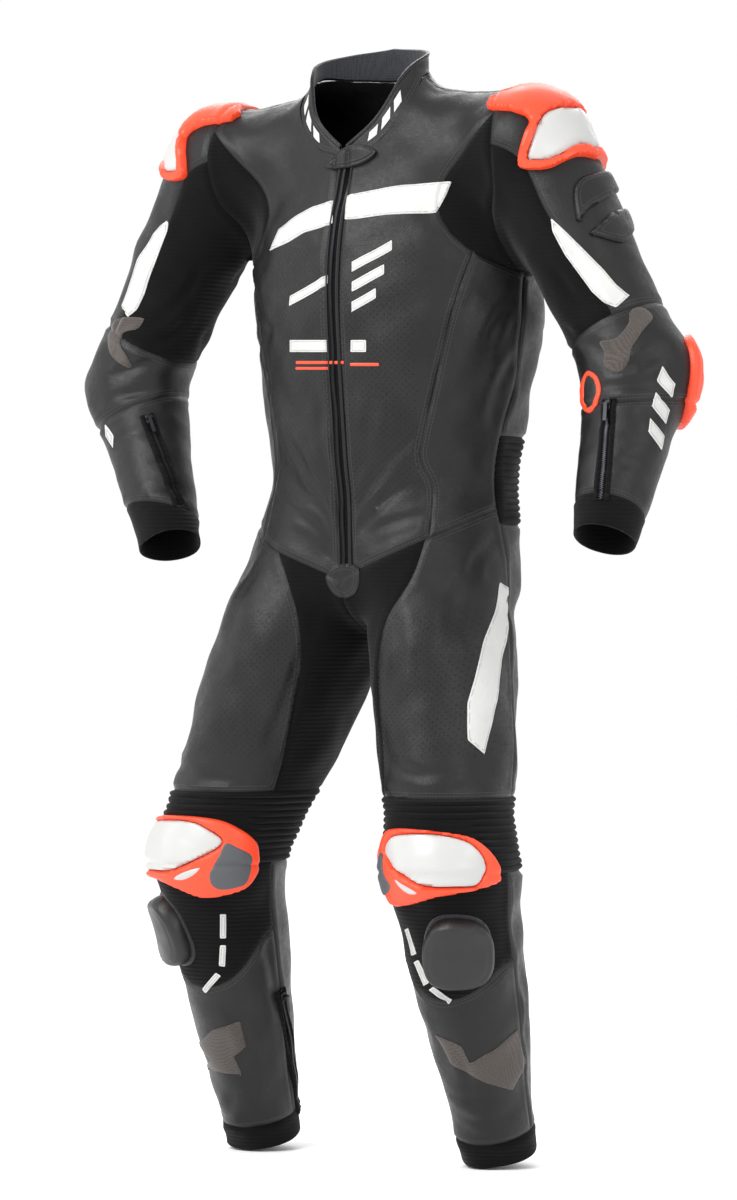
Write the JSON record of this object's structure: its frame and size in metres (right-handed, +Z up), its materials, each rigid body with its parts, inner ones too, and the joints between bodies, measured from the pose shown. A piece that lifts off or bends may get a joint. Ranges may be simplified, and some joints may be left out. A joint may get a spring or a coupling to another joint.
{
  "type": "motorcycle race suit",
  "caption": "One-piece leather race suit, empty and filled out as worn, with armour cups at the shoulders, elbows and knees, knee sliders and stretch panels.",
  "frame": {"origin": "midway between the shoulders, at the height of the shoulder joints, inside the yoke, where the wearer carries the suit", "axes": "+Z up the body, the front faces -Y, the wearer's left is +X"},
  "size_m": [0.8577, 0.3343, 1.3586],
  "materials": {
    "leather_black": "satin black cowhide, lightly creased",
    "stretch_black": "matte black ribbed stretch cloth",
    "leather_white": "smooth white leather",
    "leather_red": "fluorescent red-orange",
    "lining": "dark mesh lining",
    "zip_metal": "black coated metal teeth and tabs",
    "plastic_black": "moulded black plastic"
  },
  "bodies": {
    "suit": {"back": "leather_black", "front_R": "leather_black", "front_L": "leather_black", "side_R": "leather_black", "side_L": "leather_black", "sleeve_outer_R": "leather_black", "sleeve_outer_L": "leather_black", "elbow_R": "leather_black", "elbow_L": "leather_black", "forearm_R": "leather_black", "forearm_L": "leather_black", "thigh_front_R": "leather_black", "thigh_front_L": "leather_black", "thigh_back_R": "leather_black", "thigh_back_L": "leather_black", "shin_R": "leather_black", "shin_L": "leather_black", "calf_R": "leather_black", "calf_L": "leather_black", "collar": "leather_black", "collar_tab": "leather_black", "gusset_R": "stretch_black", "gusset_L": "stretch_black", "sleeve_inner_R": "stretch_black", "sleeve_inner_L": "stretch_black", "cuff_R": "stretch_black", "cuff_L": "stretch_black", "thigh_inner_R": "stretch_black", "thigh_inner_L": "stretch_black", "knee_panel_R": "stretch_black", "knee_panel_L": "stretch_black", "hem_R": "stretch_black", "hem_L": "stretch_black", "knee_stretch_R": "stretch_black", "knee_stretch_L": "stretch_black", "back_stretch": "stretch_black", "chest_band_R": "leather_white", "chest_band_L": "leather_white", "sleeve_blade_R": "leather_white", "thigh_blade_R": "leather_white", "shoulder_cup_R": "leather_white", "knee_cup_R": "leather_white", "sleeve_blade_L": "leather_white", "thigh_blade_L": "leather_white", "shoulder_cup_L": "leather_white", "knee_cup_L": "leather_white", "elbow_cup_R": "leather_red", "elbow_cup_L": "leather_red", "collar_lining": "lining", "main_zip": "zip_metal", "forearm_zip_R": "zip_metal", "leg_zip_R": "zip_metal", "forearm_zip_L": "zip_metal", "leg_zip_L": "zip_metal", "knee_slider_R": "plastic_black", "knee_slider_L": "plastic_black"},
    "forearm_zip_pull_R": {"forearm_zip_pull_R": "zip_metal"},
    "leg_zip_pull_R": {"leg_zip_pull_R": "zip_metal"},
    "forearm_zip_pull_L": {"forearm_zip_pull_L": "zip_metal"},
    "leg_zip_pull_L": {"leg_zip_pull_L": "zip_metal"}
  },
  "joints": [
    {"name": "forearm_zip_pull_turn_R", "type": "hinge", "parent": "suit", "child": "forearm_zip_pull_R", "pos_m": [-0.28886, -0.07622, -0.35836], "axis": [0.699, 0.666, 0.2605], "range_deg": [-140, 0]},
    {"name": "leg_zip_pull_turn_R", "type": "hinge", "parent": "suit", "child": "leg_zip_pull_R", "pos_m": [-0.11688, -0.03236, -1.07288], "axis": [0.0962, 0.8923, 0.4411], "range_deg": [-140, 0]},
    {"name": "forearm_zip_pull_turn_L", "type": "hinge", "parent": "suit", "child": "forearm_zip_pull_L", "pos_m": [0.35374, -0.09698, -0.35776], "axis": [0.9967, 0.0408, 0.0697], "range_deg": [-140, 0]},
    {"name": "leg_zip_pull_turn_L", "type": "hinge", "parent": "suit", "child": "leg_zip_pull_L", "pos_m": [0.07319, -0.03232, -1.07247], "axis": [0.0763, -0.8912, -0.4471], "range_deg": [-140, 0]}
  ]
}
